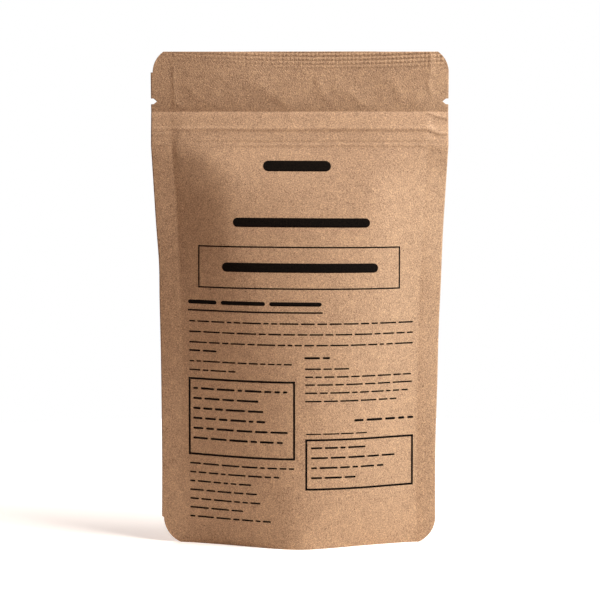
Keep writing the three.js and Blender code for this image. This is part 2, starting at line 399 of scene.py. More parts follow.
# %% [markdown]
# ## The fine relief
#
# Paper keeps a record of everything that has pressed on it. A bump in the material would look flat
# from the side, so each mark is a height in millimetres that is added to the form. Much of it is
# uneven by chance, and that comes from smooth noise with a fixed seed, so it never changes.

# %% Noise
NOISE_LATTICE = 64
NOISE_START = 20.0


def soft_noise(x, z, cell, seed):
    """Smooth noise from -1 to 1: random heights on a square lattice, blended with 6t^5-15t^4+10t^3."""
    lattice = np.random.default_rng(seed).uniform(-1.0, 1.0, (NOISE_LATTICE, NOISE_LATTICE))
    gx, gz = x / cell + NOISE_START, z / cell + NOISE_START
    ix, iz = np.floor(gx).astype(int), np.floor(gz).astype(int)
    tx, tz = gx - ix, gz - iz
    tx = tx**3 * (tx * (6.0 * tx - 15.0) + 10.0)
    tz = tz**3 * (tz * (6.0 * tz - 15.0) + 10.0)
    jx, jz = (ix + 1) % NOISE_LATTICE, (iz + 1) % NOISE_LATTICE
    ix, iz = ix % NOISE_LATTICE, iz % NOISE_LATTICE
    low = lattice[ix, iz] * (1.0 - tx) + lattice[jx, iz] * tx
    high = lattice[ix, jz] * (1.0 - tx) + lattice[jx, jz] * tx
    return low * (1.0 - tz) + high * tz


def lumps(x, z, layers):
    """Sum of noises, given as (height in mm, cell in mm, seed) each."""
    return sum(height * soft_noise(x, z, cell, seed) for height, cell, seed in layers)


sample = soft_noise(np.arange(4.0), np.zeros(4), 1.0, 3)
print("noise at four points of its lattice:", sample.round(2))

# %% [markdown]
# ### The zip's ridges
#
# The zip shows through the paper as a step at its lower edge, a low rib and a sharp ridge, and its
# welded ends are crushed in the side seals. The paper rises towards the step from below, more on
# the left, so the profile has a second column for that side.

# %% Zip relief
ZIP_HALF_LENGTH = 73.5
ZIP_WANDER = ((0.12, 26.0, 12),)
ZIP_ROUND = 0.2
ZIP_LEFT_RANGE = (28.0, 48.0)
CRUSH_LOSS, CRUSH_TOP_SAVED, CRUSH_LEFT_SAVED = 0.75, 0.45, 0.2
CRUSH_UPPER, CRUSH_TOP = (ZIP_BOTTOM - 4.0, ZIP_RIDGE), (ZIP_RIDGE + 2.0, ZIP_TOP - 2.0)
CRUSH_START, CRUSH_START_LEFT, CRUSH_START_RIGHT = ZIP_HALF_LENGTH - 1.0, -2.5, 4.5
CRUSH_END, CRUSH_END_LEFT, CRUSH_END_RIGHT = SEAL_INNER, 2.5, 4.5
ZIP_PROFILE = [
    (ZIP_BOTTOM - 12.0, 0.0, 0.0),
    (ZIP_BOTTOM - 0.3, 0.26, 0.48),
    (ZIP_BOTTOM + 0.3, 0.62, 0.56),
    (ZIP_BOTTOM + 1.8, 0.56, 0.58),
    (ZIP_RIB - 0.9, 0.5, 0.6),
    (ZIP_RIB - 0.4, 0.84, 0.76),
    (ZIP_RIB + 1.5, 0.84, 0.84),
    (ZIP_RIDGE - 1.5, 0.95, 1.15),
    (ZIP_RIDGE - 0.5, 1.38, 1.4),
    (ZIP_RIDGE + 0.4, 1.6, 1.7),
    (ZIP_RIDGE + 1.8, 1.26, 1.1),
    (ZIP_TOP - 1.8, 0.42, 0.62),
    (ZIP_TOP - 0.2, 0.03, 0.08),
    (ZIP_TOP + 0.4, 0.0, 0.0),
]


def end_crush(x, z):
    """Share of its depth that the zip keeps: 1 inside, and 1 - CRUSH_LOSS in the side seals.

    The top edge keeps CRUSH_TOP_SAVED more there. Above the rib the left end keeps a little more
    too and is crushed over a longer way, and the right end is crushed further out."""
    left = x < 0.0
    upper, top = smooth_step(z, *CRUSH_UPPER), smooth_step(z, *CRUSH_TOP)
    start = CRUSH_START + upper * np.where(left, CRUSH_START_LEFT, CRUSH_START_RIGHT)
    end = CRUSH_END + upper * np.where(left, CRUSH_END_LEFT, CRUSH_END_RIGHT)
    lost = CRUSH_LOSS - CRUSH_TOP_SAVED * top - CRUSH_LEFT_SAVED * left * upper * (1.0 - top)
    return 1.0 - lost * smooth_step(np.abs(x), start, end)


def zip_relief(x, z):
    """The zip's profile across the tape, with (height, rise, rise on the left) in each row.

    It is the mean of three, ZIP_ROUND apart, and wanders up and down a little. The rise on the
    left takes over across ZIP_LEFT_RANGE, counted from the middle."""
    heights, rises, left_rises = np.array(ZIP_PROFILE).T
    place = z + lumps(x, 0.0 * z, ZIP_WANDER)
    left = smooth_step(-x, *ZIP_LEFT_RANGE)
    profile = 0.0 * x
    for shift in (-ZIP_ROUND, 0.0, ZIP_ROUND):
        middle_rise = np.interp(place + shift, heights, rises)
        left_rise = np.interp(place + shift, heights, left_rises)
        profile = profile + (middle_rise * (1.0 - left) + left_rise * left) / 3.0
    return profile * end_crush(x, z)


print(f"the zip's ridge stands {zip_relief(0.0, ZIP_RIDGE):.1f} mm proud")

# %% [markdown]
# ### The waffle
#
# The jaws that seal the top are knurled, and press rows of small square pads into it. The jaw met
# the web on a slight curve and a little askew, so the rows bow and fade towards the left.

# %% Waffle relief
WAFFLE_PITCH = 2.45
WAFFLE_ROWS = 5
WAFFLE_LOW = HEIGHT - WAFFLE_ROWS * WAFFLE_PITCH
WAFFLE_DEPTH = 0.52
WAFFLE_RAISE = 0.8
WAFFLE_BOW, WAFFLE_BOW_MIDDLE = 0.00035, 8.0
WAFFLE_PHASE = 0.32
WAFFLE_RANGE = (-90.0, 60.0)
WAFFLE_FIRST_ROW = (0.9, 1.2)
WAFFLE_FADE_LOW, WAFFLE_FADE_SHIFT, WAFFLE_FADE_HIGH = 1.5, 3.0, 5.0


def waffle_relief(x, z):
    """Rows of small pads: |sin| up times (1 + |sin| across) / 2, fading down and to the left.

    The lower rows fade out first, and at the left edge the pads are half as deep."""
    bow = WAFFLE_BOW * (x - WAFFLE_BOW_MIDDLE) ** 2
    row = (z - WAFFLE_LOW + WAFFLE_RAISE - bow) / WAFFLE_PITCH
    across_pad = np.abs(np.sin(math.pi * (x / WAFFLE_PITCH + WAFFLE_PHASE)))
    pad = np.abs(np.sin(math.pi * row)) * (0.5 + 0.5 * across_pad)
    right = smooth_step(x, *WAFFLE_RANGE)
    fade = smooth_step(row, WAFFLE_FADE_LOW - WAFFLE_FADE_SHIFT * right, WAFFLE_FADE_HIGH)
    band = smooth_step(row, *WAFFLE_FIRST_ROW) * fade
    return WAFFLE_DEPTH * pad * band * (0.5 + 0.5 * right)


print(f"the waffle has {WAFFLE_ROWS} rows of pads, {WAFFLE_PITCH} mm apart")

# %% [markdown]
# ### Creases and folds
#
# Handling has buckled the empty header into a few long soft folds, and pressing the zip flat has
# crumpled its welded ends. Each fold is a straight line with a rise, so it can be put where it
# belongs, and a little noise bends it, so that none looks ruled.

# %% Folds
FOLD_ROUND = 0.35
FOLD_BENDS = ((1.0, 8.0, 31),), ((1.0, 8.0, 32),)
FOLDS = [
    (-26.3, 280.0, -7.0, 267.0, 0.6, 3.2),
    (9.5, 281.0, 18.0, 269.5, 0.5, 2.8),
    (23.0, 277.5, 36.0, 268.0, 0.75, 3.6),
    (55.0, 281.0, 65.0, 269.0, 0.6, 3.8),
    (-66.0, 279.0, -56.0, 268.0, 0.25, 2.4),
    (-48.0, 285.0, -42.5, 279.8, 0.35, 1.0),
    (-48.0, 285.0, -51.0, 280.5, 0.2, 0.9),
    (78.4, 297.0, 78.6, 274.0, 0.6, 1.4),
    (-76.0, 290.0, -75.5, 268.0, 0.3, 0.8),
    (-75.5, 268.0, -71.0, 265.4, 0.4, 1.1),
    (-73.4, 249.5, -73.6, 232.0, 0.25, 1.6),
    (-82.0, 261.4, -77.0, 261.6, 0.2, 0.8),
    (78.4, 261.7, 90.2, 257.8, 0.7, 0.6),
    (79.0, 251.6, 85.0, 249.3, 0.9, 0.7),
    (85.0, 249.3, 90.0, 248.9, 0.9, 0.7),
    (80.0, 243.0, 90.0, 242.6, 0.7, 2.0),
    (-90.0, 249.2, -78.5, 249.6, 0.35, 0.7),
    (-86.0, 242.3, -77.5, 242.6, 0.35, 0.7),
    (80.4, 252.8, 82.2, 252.3, 1.0, 0.8),
]


def fold_lines(x, z):
    """Creases and soft folds (from x, z, to x, z, rise, width): rise * exp(-distance / width) of each.

    The distance is taken to the segment between the two ends, so a fold fades out past them. The
    noise moves the wide ones most."""
    bend_x, bend_z = (lumps(x, z, layers) for layers in FOLD_BENDS)
    total = 0.0 * x
    for from_x, from_z, to_x, to_z, rise, width in FOLDS:
        run_x, run_z = to_x - from_x, to_z - from_z
        away_x, away_z = x - from_x + width * bend_x, z - from_z + width * bend_z
        share = np.clip((away_x * run_x + away_z * run_z) / (run_x**2 + run_z**2), 0.0, 1.0)
        distance = np.hypot(away_x - share * run_x, away_z - share * run_z)
        total = total + rise * np.exp(-np.hypot(distance, FOLD_ROUND * width) / width)
    return total


print("folds:", len(FOLDS))

# %% [markdown]
# ### Slow unevenness
#
# The empty header isn't flat, the body is dented where the fruit presses on it, the sides are
# thicker where the gusset lies folded in the seals, and the header stands a little proud of its
# side seals. With these the outer face of a panel is complete.

# %% Uneven paper
HEADER_LUMPS = ((0.16, 17.0, 6), (0.12, 6.5, 8))
HEADER_SIDES = (SEAL_INNER - 5.0, SEAL_INNER + 3.0)
HEADER_START, HEADER_END = (ZIP_TOP, ZIP_TOP + 5.0), (WAFFLE_LOW - 6.0, HEIGHT)
SEAL_STEP, SEAL_STEP_IN, SEAL_STEP_OUT = 0.1, 1.6, 0.4
SEAL_STEP_SHARE = {"start": 1.0, "steps": ((-0.6, 275.0, 288.0),)}
FOLD_HEIGHT, FOLD_FADE, FOLD_INNER = 40.0, 4.0, 0.85
FRUIT_DENTS = ((0.35, 28.0, 3), (0.12, 13.0, 4))
DENTS_TOP, DENTS_OUTER = 170.0, 0.75


def header_relief(x, z):
    """Lumps of the empty header, none at its seals and its crease."""
    inside = 1.0 - smooth_step(np.abs(x), *HEADER_SIDES)
    band = smooth_step(z, *HEADER_START) * (1.0 - smooth_step(z, *HEADER_END))
    return inside * band * lumps(x, z, HEADER_LUMPS)


def seal_relief(x, z):
    """The header stands SEAL_STEP proud of the pressed side seals, with a soft 2 mm shoulder."""
    line = np.where(z > ZIP_BOTTOM, SEAL_INNER, parting_line(x, z))
    header = smooth_step(z, ZIP_BOTTOM, ZIP_TOP) * curve(z, **SEAL_STEP_SHARE)
    sides = smooth_step(np.abs(x), line - SEAL_STEP_IN, line + SEAL_STEP_OUT)
    return SEAL_STEP * header * (1.0 - sides)


def fold_relief(u, z):
    """Room for the gusset, which lies folded in the side seals up to FOLD_HEIGHT."""
    low = 1.0 - smooth_step(z, FOLD_HEIGHT, FOLD_HEIGHT + FOLD_FADE)
    return (PAPER + 2.0 * WEB_GAP) * low * smooth_step(u, FOLD_INNER, 1.0)


def body_relief(x, z):
    """Slow dents where the pieces of fruit press on the paper, none at the seals."""
    body = 1.0 - smooth_step(share_across(x, z), DENTS_OUTER, 1.0)
    return body * (1.0 - smooth_step(z, DENTS_TOP, ZIP_BOTTOM)) * lumps(x, z, FRUIT_DENTS)


def stand_out(x, z):
    """Distance of a panel's outer face from the middle plane."""
    u = share_across(x, z)
    pressed = zip_relief(x, z) + waffle_relief(x, z) + seal_relief(x, z) + fold_relief(u, z)
    bent = header_relief(x, z) + fold_lines(x, z) + body_relief(x, z)
    return PAPER + WEB_GAP + bulge(z) * section(u, z) + pressed + np.maximum(0.0, bent)


print(f"at half height the pouch is {2.0 * stand_out(0.0, HEIGHT / 2.0):.1f} mm thick")

# %% [markdown]
# ## From formula to mesh
#
# A panel is a grid of points: columns across the blank and rows up it. The rows crowd together
# where the zip and the corners need it. One grid fine enough for the waffle would have a million
# faces, so only the waffle's band has four columns for each one below, and a row of seven-sided
# faces joins them. Solidify then gives the paper its thickness.


# %% Mesh helpers
def grid_faces(first, rows, columns):
    """Quads of a grid whose point (row, column) has the number first + row * columns + column."""
    row, column = np.meshgrid(np.arange(rows - 1), np.arange(columns - 1), indexing="ij")
    corner = first + row * columns + column
    return np.stack([corner, corner + 1, corner + columns + 1, corner + columns], -1).reshape(-1, 4)


def mesh_object(name, points, faces, smooth=True):
    """A mesh object from points in millimetres and faces, at the origin."""
    mesh = bpy.data.meshes.new(name)
    mesh.from_pydata((np.asarray(points) * MM).tolist(), [], faces)
    mesh.polygons.foreach_set("use_smooth", np.full(len(mesh.polygons), smooth))
    mesh.validate()
    made = bpy.data.objects.new(name, mesh)
    bpy.context.scene.collection.objects.link(made)
    return made


def give_thickness(piece, thickness):
    """Turns a sheet into a closed solid, with its thickness behind the face that is seen."""
    wall = piece.modifiers.new("thickness", "SOLIDIFY")
    wall.thickness = thickness * MM
    wall.offset = -1.0


print("faces of a grid of 2 x 3 points:", grid_faces(0, 2, 3).tolist())


# %% Stations of a panel
def spaced(*stops):
    """Stations through (place, step) stops: from each place to the next in steps of about that size."""
    pieces = []
    for (start, step), (end, _) in zip(stops[:-1], stops[1:]):
        count = max(1, round((end - start) / step))
        pieces.append(np.linspace(start, end, count, endpoint=False))
    return np.append(np.concatenate(pieces), stops[-1][0])


COLUMN = WAFFLE_PITCH * 2.0 / 3.0
WIDE_COLUMNS = 45
FINE_SHARE = 4
half_columns = spaced((0, COLUMN), (WIDE_COLUMNS * COLUMN, COLUMN / 2.0), (HALF_WIDTH, 0))
COLUMNS = np.concatenate([-half_columns[:0:-1], half_columns])
FINE_COLUMNS = np.interp(
    np.arange(FINE_SHARE * (len(COLUMNS) - 1) + 1) / FINE_SHARE, np.arange(len(COLUMNS)), COLUMNS
)
STEP = 0.05
TOP_CORNER = HEIGHT - TOP_CORNER_RISE
ROWS = spaced(
    (0, 0.35),
    (3, 0.8),
    (BOTTOM_CORNER_RISE, STEP),
    (BOTTOM_CORNER_RISE + STEP, 1.7),
    (ZIP_BOTTOM - 7, 0.6),
    (ZIP_TOP - 1.5, 0.3),
    (ZIP_TOP + 1.5, 0.7),
    (NOTCH_HEIGHT - NOTCH_MOUTH - STEP, STEP),
    (NOTCH_HEIGHT - NOTCH_MOUTH, 0.6),
    (NOTCH_HEIGHT, 0.6),
    (NOTCH_HEIGHT + NOTCH_MOUTH, STEP),
    (NOTCH_HEIGHT + NOTCH_MOUTH + STEP, 1.1),
    (TOP_CORNER - STEP, STEP),
    (TOP_CORNER, 0),
)
FINE_ROWS = spaced((TOP_CORNER + STEP, 0.3), (WAFFLE_LOW, WAFFLE_PITCH / 6), (HEIGHT, 0))
print("coarse grid:", len(ROWS), "x", len(COLUMNS), " fine:", len(FINE_ROWS), "x", len(FINE_COLUMNS))


# %% Panels
def panel_points(columns, rows, side):
    """Points of a panel's outer face, row by row; side -1 faces -Y and side 1 faces +Y."""
    column, z = np.meshgrid(columns, rows)
    x = across(column, z)
    y = middle_plane(x, z) + side * stand_out(x, z)
    return np.stack([x, y, z], -1).reshape(-1, 3)


def panel(name, side):
    """The coarse grid, the fine waffle band above it, and the row that joins them."""
    coarse = panel_points(COLUMNS, ROWS, side)
    fine = panel_points(FINE_COLUMNS, FINE_ROWS, side)
    fine_start = len(coarse)
    quads = [
        grid_faces(0, len(ROWS), len(COLUMNS)),
        grid_faces(fine_start, len(FINE_ROWS), len(FINE_COLUMNS)),
    ]
    lower = fine_start - len(COLUMNS) + np.arange(len(COLUMNS) - 1)
    upper = fine_start + FINE_SHARE * np.arange(len(COLUMNS) - 1)
    steps = [upper + step for step in range(FINE_SHARE, -1, -1)]
    joint = np.stack([lower, lower + 1, *steps], -1)
    faces = [face for part in (*quads, joint) for face in part[:, :: -side].tolist()]
    made = mesh_object(name, np.concatenate([coarse, fine]), faces)
    give_thickness(made, PAPER)
    return made


front = panel("kraft_front_panel", -1)
back = panel("kraft_back_panel", 1)
print("panel faces:", len(front.data.polygons))

# %% [markdown]
# ## The gusset
#
# The third web runs up the inside of the printed panel, across as the floor of the pouch, and down
# the inside of the back panel. It leaves the panels low in the middle and high at the sides, where
# it lies folded in the seals. The floor sags a little and keeps the mark of its middle fold. It
# uses the panels' columns and formulas, so the three webs meet without a gap.

# %% Gusset
GUSSET_MIDDLE, GUSSET_SIDE, GUSSET_POWER = 8.0, FOLD_HEIGHT, 2.5
GUSSET_FOOT = 0.4
GUSSET_SAG, GUSSET_ROUNDING = 1.6, 1.2
GUSSET_FOLD, GUSSET_FOLD_WIDTH = 0.7, 0.03
GUSSET_SQUARE, GUSSET_EASE = 12, 4.0
WALL_STATIONS, WALL_CROWDING = 16, 1.3
FLOOR_STATIONS = 41


def seat_height(u):
    """Height at which the gusset leaves the panels: middle + (side - middle) * |u|^2.5."""
    return GUSSET_MIDDLE + (GUSSET_SIDE - GUSSET_MIDDLE) * np.abs(u) ** GUSSET_POWER


def gusset_points(columns):
    """Rows of points up the printed side, across the floor and down the back, for every column.

    They lie on the web's under face. The floor is at seat + rounding - sag * (1 - v^2), with a
    small ridge at v = 0 where the web was folded, v from -1 at the printed side to 1 behind. The
    rounding, 1 - |v|^12, turns the wall into the floor, and eases where the web is narrow."""
    u = np.clip(columns / SEAL_INNER, -1.0, 1.0)
    seat = seat_height(u)
    share = np.linspace(0.0, 1.0, WALL_STATIONS)[:, None] ** WALL_CROWDING
    z = GUSSET_FOOT + (seat - GUSSET_FOOT) * share
    x = across(columns[None, :] + 0.0 * z, z)
    reach = stand_out(x, z) - 2.0 * PAPER - WEB_GAP
    v = np.sin(np.linspace(-0.5, 0.5, FLOOR_STATIONS) * math.pi)[1:-1, None]
    fold = GUSSET_FOLD * hump(v, 0.0, GUSSET_FOLD_WIDTH)
    sag = (fold - GUSSET_SAG * (1.0 - v**2)) * (1.0 - u**2)
    rounding = GUSSET_ROUNDING * (1.0 - np.abs(v) ** GUSSET_SQUARE)
    height = seat + sag + rounding * np.minimum(1.0, reach[-1] / GUSSET_EASE)
    floor_x = x[-1] + 0.0 * v
    floor = np.stack([floor_x, middle_plane(floor_x, height) + v * reach[-1], height], -1)
    printed_wall = np.stack([x, middle_plane(x, z) - reach, z], -1)
    back_wall = np.stack([x, middle_plane(x, z) + reach, z], -1)[::-1]
    return np.concatenate([printed_wall, floor, back_wall])


gusset_grid = gusset_points(COLUMNS)
gusset_faces = grid_faces(0, *gusset_grid.shape[:2])[:, ::-1]
gusset = mesh_object("kraft_bottom_gusset", gusset_grid.reshape(-1, 3), gusset_faces.tolist())
give_thickness(gusset, PAPER)
print("gusset faces:", len(gusset.data.polygons))

# %% [markdown]
# ## The zip
#
# Inside, each panel carries one half of a press-to-close zip: a thin tape with a hooked rib on the
# printed side and a pair of jaws behind it. A half has the same section all along, because it is
# extruded, so its outline is drawn once and carried across the pouch along the middle plane. Every
# rib and jaw is the same above and below its middle, so only half of each is drawn.

# %% Zip outlines
TAPE_NEAR, TAPE_FAR = 0.3, 0.5
TAPE_LOW, TAPE_HIGH = ZIP_BOTTOM + 0.3, ZIP_TOP - 3.6
RIDGE_BACK = 1.15


def both_ways(middle, *half):
    """Points (distance from the middle height, depth), and the same mirrored, in reverse order."""
    there = [(middle + distance, depth) for distance, depth in half]
    return there + [(middle - distance, depth) for distance, depth in reversed(half)]


RIB_OUTLINE = [
    (TAPE_LOW, TAPE_NEAR),
    (TAPE_LOW, TAPE_FAR),
    *both_ways(ZIP_RIB, (-0.8, TAPE_FAR), (-0.4, 0.8)),
    *both_ways(ZIP_RIDGE, (-1.0, TAPE_FAR), (-0.4, RIDGE_BACK)),
    (TAPE_HIGH, TAPE_FAR),
    (TAPE_HIGH, TAPE_NEAR),
    *both_ways(ZIP_RIDGE, (0.22, TAPE_NEAR), (0.22, -0.06), (0.5, -0.1), (0.15, -0.45)),
]
JAW_HALF = ((1.1, TAPE_NEAR), (1.0, -0.35), (0.4, -0.3), (0.4, -0.02), (0.7, 0.05), (0.7, TAPE_NEAR))
GROOVE_OUTLINE = [
    (TAPE_LOW, TAPE_NEAR),
    (TAPE_LOW, TAPE_FAR),
    *both_ways(ZIP_RIDGE, (-1.3, TAPE_FAR), (-0.8, RIDGE_BACK)),
    (TAPE_HIGH, TAPE_FAR),
    (TAPE_HIGH, TAPE_NEAR),
    *both_ways(ZIP_RIDGE, *JAW_HALF),
]
print("outline points:", len(RIB_OUTLINE), "of the rib and", len(GROOVE_OUTLINE), "of the groove")

# %% Zip halves
ZIP_STATIONS = 99


def zip_half(name, outline, side):
    """The outline's points (z, distance from the middle plane) repeated along x, with end caps."""
    z, away = np.array(outline).T
    x = np.linspace(-ZIP_HALF_LENGTH, ZIP_HALF_LENGTH, ZIP_STATIONS)[:, None]
    y = middle_plane(x, z) + side * away * end_crush(x, z)
    points = np.stack([x + 0.0 * z, y, z + 0.0 * x], -1)
    count = len(outline)
    loop = np.arange(count)
    start = count * np.arange(ZIP_STATIONS - 1)[:, None]
    ring = loop + start
    ahead = np.roll(loop, -1) + start
    sides = np.stack([ring, ahead, ahead + count, ring + count], -1).reshape(-1, 4)
    faces = [*sides.tolist(), loop[::-1].tolist(), (loop + count * (ZIP_STATIONS - 1)).tolist()]
    faces = [face[::side] for face in faces]
    return mesh_object(name, points.reshape(-1, 3), faces, smooth=False)


rib = zip_half("zip_rib_profile", RIB_OUTLINE, -1)
groove = zip_half("zip_groove_profile", GROOVE_OUTLINE, 1)
print("zip faces:", len(rib.data.polygons), len(groove.data.polygons))

# %% [markdown]
# ## The filling
#
# Shelled tamarind, pressed into the pouch, fills it to about two thirds. Hundreds of separate
# pieces would never be seen, so it is one skin: its outside is the inside of the paper, dented by
# the single pieces of fruit, and its top is a loose heap.

# %% Form of the filling
HEAP_TOP = 196.0
HEAP_DROP = 16.0
HEAP_LUMPS = ((3.0, 15.0, 21),)
FRUIT_PIECES = ((0.8, 11.0, 22), (0.3, 4.5, 23))
FRUIT_SWELL = 1.1
FILL_FOOT = 0.6
FILL_REACH = 0.95
FILL_ROOM = 0.5
FILL_THINNEST = 0.02
FILL_SQUARE = 10
FILL_COLUMN_COUNT, FILL_ROW_COUNT = 121, 161
FILL_COLUMNS = np.sin(np.linspace(-0.5, 0.5, FILL_COLUMN_COUNT) * math.pi)[1:-1] * FILL_REACH
FILL_SHARES = 0.5 - 0.5 * np.cos(np.linspace(0.0, math.pi, FILL_ROW_COUNT))


def closing(share):
    """1 in the middle, closing to nothing where the share is -1 or 1: the root of 1 - |share|^10."""
    return np.sqrt(np.maximum(0.0, 1.0 - np.abs(share) ** FILL_SQUARE))


def filling_points(side):
    """Rows from the bottom to the top of one side, as deep as the panel leaves room for.

    Its depth closes to nothing at the bottom, the top and the sides, and so does its height
    towards the sides."""
    u = FILL_COLUMNS[None, :]
    low = seat_height(u) + FILL_FOOT
    high = HEAP_TOP - HEAP_DROP * u**2 + lumps(u * SEAL_INNER, 0.0 * u, HEAP_LUMPS)
    ends = closing(u / FILL_REACH)
    z = 0.5 * (low + high) + (high - low) * ends * (FILL_SHARES[:, None] - 0.5)
    x = u * seal_line(z)
    pieces = FRUIT_SWELL + lumps(x, z, FRUIT_PIECES)
    room = np.maximum(FILL_THINNEST, stand_out(x, z) - PAPER - FILL_ROOM - pieces)
    y = middle_plane(x, z) + side * room * closing(2.0 * FILL_SHARES[:, None] - 1.0) * ends
    return np.stack([x, y, z], -1)


half_way = filling_points(1)[FILL_ROW_COUNT // 2]
print(f"half way up, the filling's back lies {half_way[:, 1].max():.0f} mm behind the middle")

# %% Filling
END_HEIGHT, END_ROOM = 110.0, 0.3


def filling_mesh():
    """Both sides share their first and last rows, and a point closes each end of the columns."""
    printed_side, back_side = filling_points(-1), filling_points(1)
    columns = printed_side.shape[1]
    ring = np.concatenate([printed_side, back_side[-2:0:-1]])
    count = len(ring)
    row = np.arange(count)
    left = row * columns
    left_ahead = np.roll(left, -1)
    here = left[:, None] + np.arange(columns - 1)
    ahead = left_ahead[:, None] + np.arange(columns - 1)
    quads = np.stack([here, here + 1, ahead + 1, ahead], -1).reshape(-1, 4)
    first_pole = count * columns
    last = columns - 1
    left_fan = np.stack([left, left_ahead, np.full(count, first_pole)], -1)
    right_fan = np.stack([left_ahead + last, left + last, np.full(count, first_pole + 1)], -1)
    pole_x = (FILL_REACH * seal_line(END_HEIGHT) + END_ROOM) * np.array([-1.0, 1.0])
    poles = np.stack([pole_x, middle_plane(pole_x, END_HEIGHT), [END_HEIGHT, END_HEIGHT]], -1)
    faces = quads.tolist() + left_fan.tolist() + right_fan.tolist()
    return mesh_object("tamarind_heap", np.concatenate([ring.reshape(-1, 3), poles]), faces)


filling = filling_mesh()
print("filling faces:", len(filling.data.polygons))

# %% [markdown]
# ## The print
#
# The pouch is printed in one dark ink: ruled frames, a rule and rows of short bars in the places
# of words. An image would blur from near by. Here each mark is a film of ink, a tenth of a
# millimetre thick and half sunk into the paper, so it bends with the panel and its edges stay crisp.

# %% Print helpers
INK_LIFT, INK_FILM = 0.05, 0.1
PRINT_TILT, PRINT_PIVOT = 0.0045, -20.0
INK_STATION = 1.2
BAR_ENDS, BAR_TIP = 5, 0.02
ink_points = []
ink_faces = []


def ink_sheet(x, z):
    """Adds a grid of points x, z (rows up, columns across) that lie on the printed panel.

    The print runs a quarter of a degree out of square with the blank."""
    z = z - PRINT_TILT * (x - PRINT_PIVOT)
    y = middle_plane(x, z) - stand_out(x, z) - INK_LIFT
    first = sum(len(part) for part in ink_points)
    ink_points.append(np.stack([x, y, z], -1).reshape(-1, 3))
    ink_faces.append(grid_faces(first, *x.shape))


def ink_stations(start, end):
    """Evenly spaced stations from start to end, about INK_STATION apart, and two at least."""
    return np.linspace(start, end, max(2, round((end - start) / INK_STATION) + 1))


def bar(left, right, middle, tall):
    """A bar with round ends: quarter turns at both, radius * (1 - cos) along and tall / 2 * sin up."""
    radius = min(tall / 2.0, (right - left) / 2.0)
    turn = np.linspace(0.0, math.pi / 2.0, BAR_ENDS)[:-1]
    cap = radius * (1.0 - np.cos(turn))
    run = ink_stations(left + radius, right - radius)
    x = np.concatenate([left + cap, run, right - cap[::-1]])
    half = tall / 2.0 * np.concatenate([np.sin(turn), np.ones(len(run)), np.sin(turn[::-1])])
    rows = np.linspace(-1.0, 1.0, 2 + max(1, round(tall / INK_STATION)))[:, None]
    ink_sheet(x + 0.0 * rows, middle + rows * np.maximum(half, BAR_TIP))


def rule(left, right, low, high):
    """A straight-edged rule, upright or level."""
    x, z = np.meshgrid(ink_stations(left, right), ink_stations(low, high))
    ink_sheet(x, z)


def ruled_frame(left, right, low, high, line):
    """Four rules round a rectangle, with the line inside it and no overlap at the corners."""
    rule(left, right, high - line, high)
    rule(left, right, low, low + line)
    rule(left, left + line, low + line, high - line)
    rule(right - line, right, low + line, high - line)


print("stations of a 6 mm rule:", ink_stations(0.0, 6.0).round(2))

# %% Rows of words
SHORTEST_WORD, LONGEST_WORD = 2.6, 12.0
GAP_SHARE, GAP_LEAST = 0.9, 0.5
WORDS_SEED = 11
words = np.random.default_rng(WORDS_SEED)


def words_line(left, right, middle, tall):
    """A row of bars as long as words, drawn at random, with wider gaps between taller ones."""
    gap = GAP_SHARE * tall + GAP_LEAST
    start = left
    while right - start > SHORTEST_WORD:
        length = words.uniform(SHORTEST_WORD, LONGEST_WORD)
        if right - start - length < SHORTEST_WORD + gap:
            length = right - start
        bar(start, start + length, middle, tall)
        start += length + gap


print(f"words are drawn between {SHORTEST_WORD} and {LONGEST_WORD} mm long")

# %% [markdown]
# ### Where the marks stand
#
# A layout is a list of measures, so it is kept as one. A large bar has its two ends, the height of
# its middle and its own height. A frame has its four sides and the width of its line. A block of
# small text has a left edge, a bar height, and for each line its height on the panel and its right
# end, because the lines of real text end raggedly.


# %% Print layout
LARGE_BARS = (
    (-21.9, 19.1, 230.0, 6.4),
    (-40.0, 42.5, 196.2, 5.6),
    (-46.6, 47.4, 169.2, 5.6),
    (-67.6, -50.0, 147.6, 2.4),
    (-47.4, -20.6, 147.6, 2.4),
    (-18.0, 13.4, 147.6, 2.4),
)
SLOGAN_RULE = (-67.8, 14.0, 142.1, 143.05)
TITLE_FRAME = (-61.3, 60.9, 156.3, 181.95, 0.85)
NOTE_BOX = (-67.4, -2.5, 54.2, 101.5, 1.2)
DATE_BOX = (3.6, 69.4, 36.0, 66.9, 1.2)
NOTE_LINES, FOOT_LINES = np.linspace(95.0, 64.6, 6), np.linspace(49.0, 16.4, 7)
TEXT_BLOCKS = (
    (-67.0, 0.9, (135.9, 129.5, 123.1), (69.0, 69.0, 69.0)),
    (-67.0, 1.1, (118.0,), (-50.0,)),
    (-67.0, 0.85, (111.6, 106.2), (-4.4, -38.5)),
    (-64.6, 1.25, NOTE_LINES, (-7.2, -24.5, -21.5, -20.5, -7.0, -9.8)),
    (-66.7, 1.0, FOOT_LINES, (-3.0, -12.0, -29.0, -25.5, -23.5, -34.0, -17.0)),
    (3.0, 1.25, (115.6,), (18.4,)),
    (3.4, 0.9, (109.0, 104.2, 99.5, 94.6, 89.6), (30.0, 68.0, 68.6, 66.0, 59.0)),
    (33.0, 1.4, (77.6,), (69.5,)),
    (4.0, 0.75, (69.9,), (41.0,)),
    (7.0, 1.1, (61.5, 55.5, 49.5, 43.5), (40.0, 58.0, 51.0, 34.0)),
)
print("lines of small text:", sum(len(ends) for *_, ends in TEXT_BLOCKS))

# %% Print
for measures in LARGE_BARS:
    bar(*measures)
rule(*SLOGAN_RULE)
for measures in (TITLE_FRAME, NOTE_BOX, DATE_BOX):
    ruled_frame(*measures)
for left, tall, middles, ends in TEXT_BLOCKS:
    for middle, end in zip(middles, ends):
        words_line(left, end, middle, tall)

